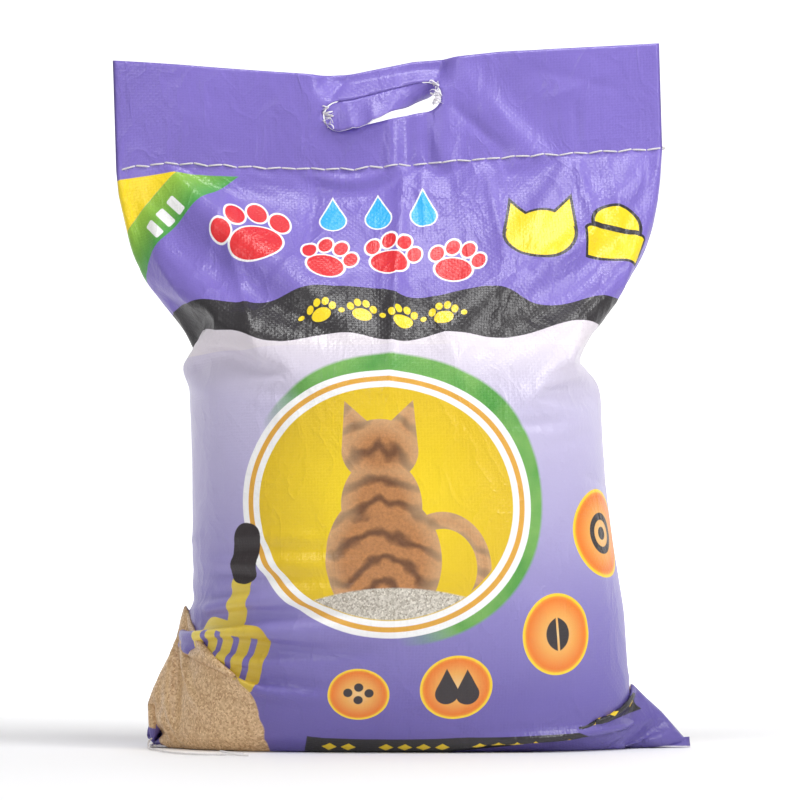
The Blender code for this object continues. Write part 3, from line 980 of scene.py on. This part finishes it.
def add_thread(name, lines, diameter, material, cyclic=False, sides=3):
    """Round thread along lines of points, as a curve with one spline per line."""
    curve = bpy.data.curves.new(name, "CURVE")
    curve.dimensions = "3D"
    curve.bevel_depth = diameter / 2
    curve.bevel_resolution = sides
    curve.use_fill_caps = True
    for line in lines:
        spline = curve.splines.new("POLY")
        spline.points.add(len(line) - 1)
        spline.points.foreach_set("co", np.insert(np.asarray(line), 3, 1.0, axis=1).ravel())
        spline.use_cyclic_u = cyclic
    curve.materials.append(material)
    piece = bpy.data.objects.new(name, curve)
    bpy.context.scene.collection.objects.link(piece)
    return piece


def pick(*pieces):
    """Selects some pieces and makes the first one active."""
    bpy.ops.object.select_all(action="DESELECT")
    for piece in pieces:
        piece.select_set(True)
    bpy.context.view_layer.objects.active = pieces[0]


def as_mesh(piece):
    pick(piece)
    bpy.ops.object.convert(target="MESH")
    return bpy.context.object


def joined(*pieces):
    pick(*pieces)
    bpy.ops.object.join()
    return bpy.context.object


def smooth_line(points, spacing):
    """Evenly spaced points on a smooth curve through the given points."""
    points = np.asarray(points, float)
    slopes = np.gradient(points, axis=0)
    steps = np.linspace(0, 1, 17)[:-1, None]
    parts = [(1 + 2 * steps) * (1 - steps) ** 2 * a + steps * (1 - steps) ** 2 * ma
             + steps ** 2 * (3 - 2 * steps) * b + steps ** 2 * (steps - 1) * mb
             for a, b, ma, mb in zip(points[:-1], points[1:], slopes[:-1], slopes[1:])]
    line = np.concatenate([*parts, points[-1:]])
    along = np.concatenate([[0], np.cumsum(np.linalg.norm(np.diff(line, axis=0), axis=1))])
    at = np.linspace(0, along[-1], max(int(along[-1] / spacing), 2) + 1)
    return np.stack([np.interp(at, along, line[:, axis]) for axis in range(3)], -1)


# ---- the sack -----------------------------------------------------------------------------
HOLE_MIDDLE = (0.1985, 0.5835)    # on the flat sheet: from the left fold, from the bottom seam
HOLE_SLANT = 0.105                # the right end is the higher one
FLAP_PLY = 0.0011
CLOTH_REST = 0.0004               # the lowest the cloth comes to the floor


def on_header(u, v):
    """The place of a point of the flat header, half way between its two plies."""
    cloth = settled_cloth()
    top = (len(cloth.places) - 1) * cloth.spacing
    seam = cloth.seam_row * cloth.spacing
    return header_place(np.asarray(u) / cloth.width, (np.asarray(v) - seam) / (top - seam))


def from_hole(u, v):
    """The place on the sheet along and across the hand hole, from its middle."""
    du, dv = u - HOLE_MIDDLE[0], v - HOLE_MIDDLE[1]
    cosine, sine = math.cos(HOLE_SLANT), math.sin(HOLE_SLANT)
    return du * cosine + dv * sine, dv * cosine - du * sine


def to_sheet(along, across):
    """The place on the sheet of a point given along and across the hand hole."""
    cosine, sine = math.cos(HOLE_SLANT), math.sin(HOLE_SLANT)
    return (HOLE_MIDDLE[0] + along * cosine - across * sine,
            HOLE_MIDDLE[1] + along * sine + across * cosine)


def hole_straight():
    """Half the length of the hand hole's straight edges."""
    return (sizes().hole_length - sizes().hole_height) / 2


def beside(cut, rows):
    """The points on the edge between the cells that are cut out and the others."""
    touched = np.zeros((rows, cut.shape[1]), bool)
    kept = touched.copy()
    for row_step in (0, 1):
        for column_step in (0, 1):
            seen = np.roll(cut, column_step, 1)
            touched[row_step:rows - 1 + row_step] |= seen
            kept[row_step:rows - 1 + row_step] |= ~seen
    return touched & kept


def open_edges(cut, number, across):
    """The front ply's open edges, along the top and round the hole, as pairs of points."""
    edges = [(number[-1, c], number[-1, c + 1]) for c in range(across - 1)]
    for row, column in zip(*np.nonzero(cut[:, :across - 1])):
        ends = number[row, column], number[row, column + 1]
        tops = number[row + 1, column], number[row + 1, column + 1]
        sides = ((cut[row - 1, column], ends), (cut[row + 1, column], tops),
                 (cut[row, column - 1], (ends[0], tops[0])),
                 (cut[row, column + 1], (ends[1], tops[1])))
        edges += [edge for also_cut, edge in sides if not also_cut]
    return edges


def build_cloth_shell():
    """The whole sack as one closed shell with the hand hole cut through both plies."""
    cloth = settled_cloth()
    places = cloth.places.copy()
    rows, around, across = len(places), cloth.around, cloth.across
    mirror = cloth.mirror()
    share = cloth.share_across()
    u, v = np.meshgrid(share * cloth.width, np.arange(rows) * cloth.spacing)

    seam_v = cloth.seam_row * cloth.spacing
    radius, straight = sizes().hole_height / 2, hole_straight()
    along, over = from_hole((u[:-1] + np.roll(u, -1, 1)[:-1]) / 2, (v[:-1] + v[1:]) / 2)
    cut = np.hypot(along - np.clip(along, -straight, straight), over) < radius
    rim = beside(cut, rows)
    along, over = from_hole(u[rim], v[rim])
    nearest = np.clip(along, -straight, straight)
    away = np.hypot(along - nearest, over)
    u[rim], v[rim] = to_sheet(nearest + (along - nearest) * radius / away, over * radius / away)
    places[rim] = on_header(u[rim], v[rim])

    sheet_u = np.where(np.arange(around) >= across, 2 * cloth.width - u, u)
    body = slice(1, cloth.seam_row)
    sheet_v = v[body]
    fade = np.clip((seam_v - sheet_v) / 0.012, 0, 1) * np.clip(sheet_v / 0.020, 0, 1)
    places[body] += (fade * crease_height(SACK_CREASES, sheet_u[body], sheet_v))[..., None] * (
        outward(places)[body])
    places[body, :, 2] = np.maximum(places[body, :, 2], CLOTH_REST)

    header = slice(cloth.seam_row, None)
    places[header, 1:across - 1, 1] -= sizes().ply_gap
    places[header, across:, 1] += sizes().ply_gap

    number = np.arange(rows * around).reshape(rows, around)
    number[0] = np.minimum(number[0], number[0][mirror])
    next_u = np.roll(sheet_u, -1, 1)
    next_u[:, -1] = 2 * cloth.width
    walls, corners_u, corners_v = (
        np.stack([here[:-1], beyond[:-1], beyond[1:], here[1:]], -1)[~cut]
        for here, beyond in ((number, np.roll(number, -1, 1)), (sheet_u, next_u),
                             (v, np.roll(v, -1, 1))))
    faces = walls.tolist()
    corners = np.stack([corners_u, corners_v], -1).reshape(-1, 2)

    rims, rim_corners, rim_materials = [], [], []
    flat_u, flat_v = u.ravel(), v.ravel()
    for a, b in open_edges(cut, number, across):
        far_a = a // around * around + mirror[a % around]
        far_b = b // around * around + mirror[b % around]
        rims.append(list(dict.fromkeys((b, a, far_a, far_b))))
        rim_corners += [(flat_u[corner], flat_v[corner]) for corner in rims[-1]]
        along, over = from_hole(flat_u[a], flat_v[a])
        on_hinge = abs(along) < straight and 0.5 * radius < over < 1.5 * radius
        rim_materials.append(0 if on_hinge else 1)
    corners = np.concatenate([corners, rim_corners])

    used = np.unique(np.concatenate([np.ravel(face) for face in faces + rims]))
    renumber = np.zeros(rows * around, int)
    renumber[used] = np.arange(len(used))
    shell = add_mesh("woven_sack", places.reshape(-1, 3)[used],
                     [renumber[face] for face in faces + rims],
                     (printed_film(), raw_edge()), [0] * len(faces) + rim_materials)
    shell.data.uv_layers.new(name="sheet").data.foreach_set("uv", corners.ravel())
    pick(shell)
    bpy.ops.object.mode_set(mode="EDIT")
    bpy.ops.mesh.select_all(action="SELECT")
    bpy.ops.mesh.normals_make_consistent(inside=False)
    bpy.ops.object.mode_set(mode="OBJECT")
    return shell


def add_sheet(name, grid, u, v, materials, thickness):
    """A strip of cloth of the given thickness over a grid of places, with its raw edges."""
    rows, columns = grid.shape[:2]
    number = np.arange(rows * columns).reshape(rows, columns)
    faces = np.stack([number[:-1, :-1], number[:-1, 1:], number[1:, 1:], number[1:, :-1]], -1)
    faces = faces.reshape(-1, 4)
    strip = add_mesh(name, grid.reshape(-1, 3), faces.tolist(), materials)
    corners = np.stack([u.ravel()[faces], v.ravel()[faces]], -1)
    strip.data.uv_layers.new(name="sheet").data.foreach_set("uv", corners.ravel())
    pick(strip)
    bpy.ops.object.modifier_add(type="SOLIDIFY")
    strip.modifiers[0].thickness = thickness
    strip.modifiers[0].offset = 0.0
    strip.modifiers[0].material_offset_rim = 1
    bpy.ops.object.modifier_apply(modifier=strip.modifiers[0].name)
    return strip


def build_flap(materials):
    """The cut-out tongue, still hanging from the hole's upper edge and swung inwards."""
    radius, straight = sizes().hole_height / 2, hole_straight()
    along = np.linspace(-1, 1, 49)
    along = np.sin(along * math.pi / 2) * (straight + radius - 0.0012)
    past = np.abs(along) - straight
    half = np.sqrt(np.clip((radius - 0.0008) ** 2 - np.clip(past, 0, None) ** 2, 0, None))
    down = np.linspace(0, 1, 9)[:, None]
    tucked = 0.0014 * (past < 0)
    over = half + tucked - (2 * half + tucked) * down
    hinge_u, hinge_v = to_sheet(along, radius)
    hinge = on_header(hinge_u, hinge_v)
    below = on_header(*to_sheet(along, radius - 0.004))
    hang = below - hinge
    hang /= np.linalg.norm(hang, axis=-1, keepdims=True)
    share = (along / (straight + radius) + 1) / 2
    swing = np.radians(np.interp(share, (0, 0.42, 0.62, 0.85, 1), (-9, 0, 22, 44, 52)))
    drop = (radius - over)[..., None]
    curl = np.array((0.0, 1.0, 0.0))
    swing = (swing * (0.75 + 0.5 * down))[..., None]
    grid = hinge + hang * drop * np.cos(swing) + curl * drop * np.sin(swing)
    grid[..., 1] += 0.0008
    u, v = to_sheet(along, over)
    return add_sheet("flap", grid, u, v, materials, FLAP_PLY)


def build_frayed_ends(material):
    """Loose white tapes at the two ends of the hand hole."""
    rng = np.random.default_rng(11)
    ribbons = []
    for side, count in ((-1, 18), (1, 16)):
        for _ in range(count):
            across = rng.uniform(-0.006, 0.010)
            start = on_header(*to_sheet(side * (sizes().hole_length / 2 - 0.001), across))
            heading = np.array((-side * rng.uniform(0.2, 1.0), rng.uniform(-0.9, 0.2),
                                rng.uniform(-0.8, 0.5)))
            heading /= np.linalg.norm(heading)
            reach = rng.uniform(0.004, 0.0095)
            bow = rng.normal(0, 0.0016, 3)
            steps = np.linspace(0, 1, 6)[:, None]
            middle = start + heading * reach * steps + bow * np.sin(steps * math.pi)
            middle[:, 1] -= 0.0006
            wide = np.cross(heading, rng.normal(0, 1, 3))
            wide *= rng.uniform(0.0005, 0.0014) / np.linalg.norm(wide)
            grid = np.stack([middle - wide, middle + wide * (1.0 - 0.5 * steps)], 1)
            ribbons.append(add_sheet("tape", grid, np.zeros((6, 2)), np.zeros((6, 2)),
                                     (material, material), 0.00016))
    return joined(*ribbons)


def build_hem(materials):
    """The turned-under hem along the bottom seam, lying on the floor."""
    cloth = settled_cloth()
    seam = cloth.places[0, :cloth.across]
    line = smooth_line(seam[::4], cloth.spacing * 2)
    line[:, 2] = np.interp(line[:, 0], (-0.17, 0.15, 0.185, 0.211), (0.0019, 0.0019, 0.006, 0.0075))
    across = np.linspace(0, 1, 5)
    droop = np.interp(line[:, 0], (0.15, 0.19), (0.0, 1.0))
    grid = np.repeat(line[None], 5, 0)
    grid[..., 1] += 0.0006 - sizes().hem_width * across[:, None] * (1 - 0.45 * droop)
    floor_line = np.interp(line[:, 0], (-0.17, 0.211), (0.0013, 0.0010))
    grid[..., 2] += (floor_line - grid[..., 2]) * across[:, None] ** 0.7
    share = np.linspace(0, 1, len(line))
    u = np.repeat(share[None] * cloth.width, 5, 0)
    v = np.repeat(0.012 - 0.010 * across[:, None], len(line), 1)
    return add_sheet("hem", grid, u, v, materials, 0.0012)


# ---- the seams ----------------------------------------------------------------------------
def build_top_stitches(material):
    """Long front stitches that dip through the cloth, and the chain of loops on the back."""
    cloth = settled_cloth()
    seam_v = cloth.seam_row * cloth.spacing
    half, pitch = sizes().thread_diameter / 2, sizes().stitch_pitch
    rng = np.random.default_rng(6)
    holes = np.arange(0.0035, cloth.width - 0.001, pitch)
    rises = np.array((0.00, 0.06, 0.16, 0.35, 0.60, 0.80, 0.94))
    lifts = np.array((1.6, 0.5, -0.55, -1.0, -1.0, -0.6, 0.5))
    front = []
    for number, hole in enumerate(holes):
        tilt = rng.normal(0.0006, 0.0003) * (-1) ** number
        for rise, lift in zip(rises, lifts):
            v = seam_v - 0.0005 + tilt * (rise - 0.5) * 2
            place = on_header(hole + rise * pitch, v)
            place[1] += lift * half - sizes().ply_gap * (1 if lift < 1 else -1)
            front.append(place)
    loops = []
    turn = np.linspace(0, 2 * math.pi, 22, endpoint=False)
    for hole in holes:
        u = hole + pitch * 0.62 + np.cos(turn) * pitch * 0.68
        place = on_header(u, seam_v + np.sin(turn) * 0.0011)
        place[:, 1] += sizes().ply_gap + half * (1.3 - 0.9 * np.cos(turn))
        loops.append(place)
    stitches = as_mesh(add_thread("top_seam_stitches", [np.array(front)], half * 2, material))
    chain = as_mesh(add_thread("chain", loops, half * 1.7, material, cyclic=True))
    return joined(stitches, chain)


def build_bottom_stitches(material):
    """The stitches through the hem under the base."""
    cloth = settled_cloth()
    seam = smooth_line(cloth.places[0, :cloth.across:4], 0.001)
    half, pitch = sizes().thread_diameter / 2, sizes().stitch_pitch
    along = np.arange(0.004, 0.375, pitch / 6)
    x = np.interp(along, np.arange(len(seam)) * 0.001, seam[:, 0])
    wave = np.cos(along / pitch * 2 * math.pi)
    line = np.stack([x, 0 * x - 0.0042, half + 0.0002 + 0.0006 * (1 + wave)], -1)
    return as_mesh(add_thread("bottom_seam_stitches", [line], half * 2, material))


TAIL_ROUTE = (
    (-0.1800, -0.0040, 0.0066), (-0.1815, -0.0110, 0.0048), (-0.1812, -0.0210, 0.0022),
    (-0.1790, -0.0330, 0.0010), (-0.1750, -0.0470, 0.0010), (-0.1702, -0.0610, 0.0010),
    (-0.1650, -0.0750, 0.0010), (-0.1590, -0.0880, 0.0010), (-0.1515, -0.0990, 0.0010),
    (-0.1425, -0.1070, 0.0010), (-0.1325, -0.1115, 0.0010), (-0.1222, -0.1122, 0.0010),
    (-0.1135, -0.1085, 0.0010), (-0.1092, -0.1015, 0.0010), (-0.1118, -0.0942, 0.0010),
    (-0.1192, -0.0925, 0.0013), (-0.1240, -0.0985, 0.0022), (-0.1242, -0.1060, 0.0030),
    (-0.1222, -0.1125, 0.0031), (-0.1178, -0.1182, 0.0024), (-0.1115, -0.1215, 0.0013),
    (-0.1040, -0.1225, 0.0010))


# ---- operators ----------------------------------------------------------------------------
class BAG_OT_thread_tail(bpy.types.Operator):
    """Make the loose thread end that leaves the bottom seam at the left"""
    bl_idname = "litter_bag.thread_tail"
    bl_label = "Thread End"

    def execute(self, context):
        diameter = sizes().thread_diameter
        line = smooth_line(TAIL_ROUTE, 0.0016)
        tail = add_thread("loose_thread_end", [line], diameter, sewing_thread(), sides=4)
        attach(tail, "root")
        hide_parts("thread_tail")
        return {"FINISHED"}


class BAG_OT_sack(bpy.types.Operator):
    """Make the filled sack with its header, hand hole, flap and hem"""
    bl_idname = "litter_bag.sack"
    bl_label = "Sack"

    def execute(self, context):
        shell = build_cloth_shell()
        film, edge = shell.data.materials
        flap = build_flap((film, edge))
        hem = build_hem((film, edge))
        sack = joined(shell, flap, hem, build_frayed_ends(edge))
        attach(sack, "root")
        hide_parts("sack")
        return {"FINISHED"}


class BAG_OT_top_seam(bpy.types.Operator):
    """Make the stitches between the filling and the header"""
    bl_idname = "litter_bag.top_seam"
    bl_label = "Top Seam"

    def execute(self, context):
        seam = build_top_stitches(sewing_thread())
        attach(seam, "root")
        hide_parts("top_seam_thread")
        return {"FINISHED"}


class BAG_OT_bottom_seam(bpy.types.Operator):
    """Make the stitches through the hem under the base"""
    bl_idname = "litter_bag.bottom_seam"
    bl_label = "Bottom Seam"

    def execute(self, context):
        seam = build_bottom_stitches(sewing_thread())
        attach(seam, "root")
        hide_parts("bottom_seam_thread")
        return {"FINISHED"}


CAMERA_PLACE = (0.0, -2.3, 0.12)
CAMERA_PITCH = math.radians(93.3)
CAMERA_LENS = 141.9
BACKDROP_START, BACKDROP_BEND = 1.2, 1.6
BACKDROP_GLOW = 0.60
SURROUNDINGS = 0.39
# Lights: name, place, target, size, watts.
LIGHTS = (("key", (1.20, -1.15, 0.95), (0.05, 0.0, 0.25), 0.45, 9.5),
          ("left", (-0.80, -1.60, 1.20), (0.0, 0.0, 0.25), 0.40, 5.0),
          ("top", (0.10, -0.45, 1.50), (0.0, 0.0, 0.30), 0.40, 6.5),
          ("glint", (0.90, -0.62, 1.30), (0.0, 0.0, 0.38), 0.16, 4.0))


class BAG_OT_camera(bpy.types.Operator):
    """Place the camera low in front of the bag"""
    bl_idname = "litter_bag.camera"
    bl_label = "Camera"

    def execute(self, context):
        bpy.ops.object.camera_add(location=CAMERA_PLACE, rotation=(CAMERA_PITCH, 0.0, 0.0))
        camera = context.object
        camera.name = "camera"
        camera.data.lens = CAMERA_LENS
        context.scene.camera = camera
        return {"FINISHED"}


class BAG_OT_stage(bpy.types.Operator):
    """Make the pale floor, the bright surroundings and the soft lights"""
    bl_idname = "litter_bag.stage"
    bl_label = "Stage"

    def execute(self, context):
        turn = np.linspace(0, math.pi / 2, 25)
        y = np.concatenate([[-6.0], BACKDROP_START + BACKDROP_BEND * np.sin(turn),
                            [BACKDROP_START + BACKDROP_BEND]])
        z = np.concatenate([[0.0], BACKDROP_BEND * (1 - np.cos(turn)), [6.0]])
        places = [(x, *place) for place in zip(y, z) for x in (-6.0, 6.0)]
        faces = [(2 * k, 2 * k + 1, 2 * k + 3, 2 * k + 2) for k in range(len(y) - 1)]
        pale = Shader("pale_backdrop", 0.7, Emission_Strength=BACKDROP_GLOW)
        place = pale.node("ShaderNodeSeparateXYZ", None, {0: pale.object_place()}, 1)
        far = pale.ramp(place, -0.15, 0.9)
        pale.plug(pale.surface.inputs["Emission Color"],
                  pale.paint((0.0, 0.0, 0.0), (1.0, 1.0, 1.0), far))
        backdrop = add_mesh("backdrop", places, faces, [pale.finish(from_screen(245, 245, 246))])
        for name, place, target, size, watts in LIGHTS:
            bpy.ops.object.light_add(type="AREA", location=place)
            light = context.object
            light.name = name
            light.data.size = size
            light.data.energy = watts
            aim = Vector(target) - Vector(place)
            light.rotation_euler = aim.to_track_quat("-Z", "Y").to_euler()
        world = bpy.data.worlds.new("surroundings")
        world.use_nodes = True
        world.node_tree.nodes["Background"].inputs["Color"].default_value = (1.0, 1.0, 1.0, 1.0)
        world.node_tree.nodes["Background"].inputs["Strength"].default_value = SURROUNDINGS
        context.scene.world = world
        context.scene.view_settings.view_transform = "Standard"
        return {"FINISHED"}


class BAG_PT_panel(bpy.types.Panel):
    """The bag's operators and settings in the sidebar"""
    bl_idname = "BAG_PT_panel"
    bl_label = "Litter Bag"
    bl_space_type = "VIEW_3D"
    bl_region_type = "UI"
    bl_category = "Litter Bag"

    def draw(self, context):
        for operator in OPERATORS:
            self.layout.operator(operator.bl_idname)
        for group in (sizes(), colours()):
            for name in group.bl_rna.properties.keys():
                if name not in ("rna_type", "name"):
                    self.layout.prop(group, name)


OPERATORS = (BAG_OT_camera, BAG_OT_thread_tail, BAG_OT_sack, BAG_OT_top_seam,
             BAG_OT_bottom_seam, BAG_OT_stage)
CLASSES = (BagSizes, BagColours, *OPERATORS, BAG_PT_panel)


def register():
    for each in CLASSES:
        bpy.utils.register_class(each)
    bpy.types.Scene.litter_bag_sizes = bpy.props.PointerProperty(type=BagSizes)
    bpy.types.Scene.litter_bag_colours = bpy.props.PointerProperty(type=BagColours)


def unregister():
    del bpy.types.Scene.litter_bag_sizes
    del bpy.types.Scene.litter_bag_colours
    for each in reversed(CLASSES):
        bpy.utils.unregister_class(each)


def main():
    register()
    bpy.ops.litter_bag.camera()
    bpy.ops.litter_bag.thread_tail()
    bpy.ops.litter_bag.sack()
    bpy.ops.litter_bag.top_seam()
    bpy.ops.litter_bag.bottom_seam()
    bpy.ops.litter_bag.stage()


if __name__ == "__main__":
    main()
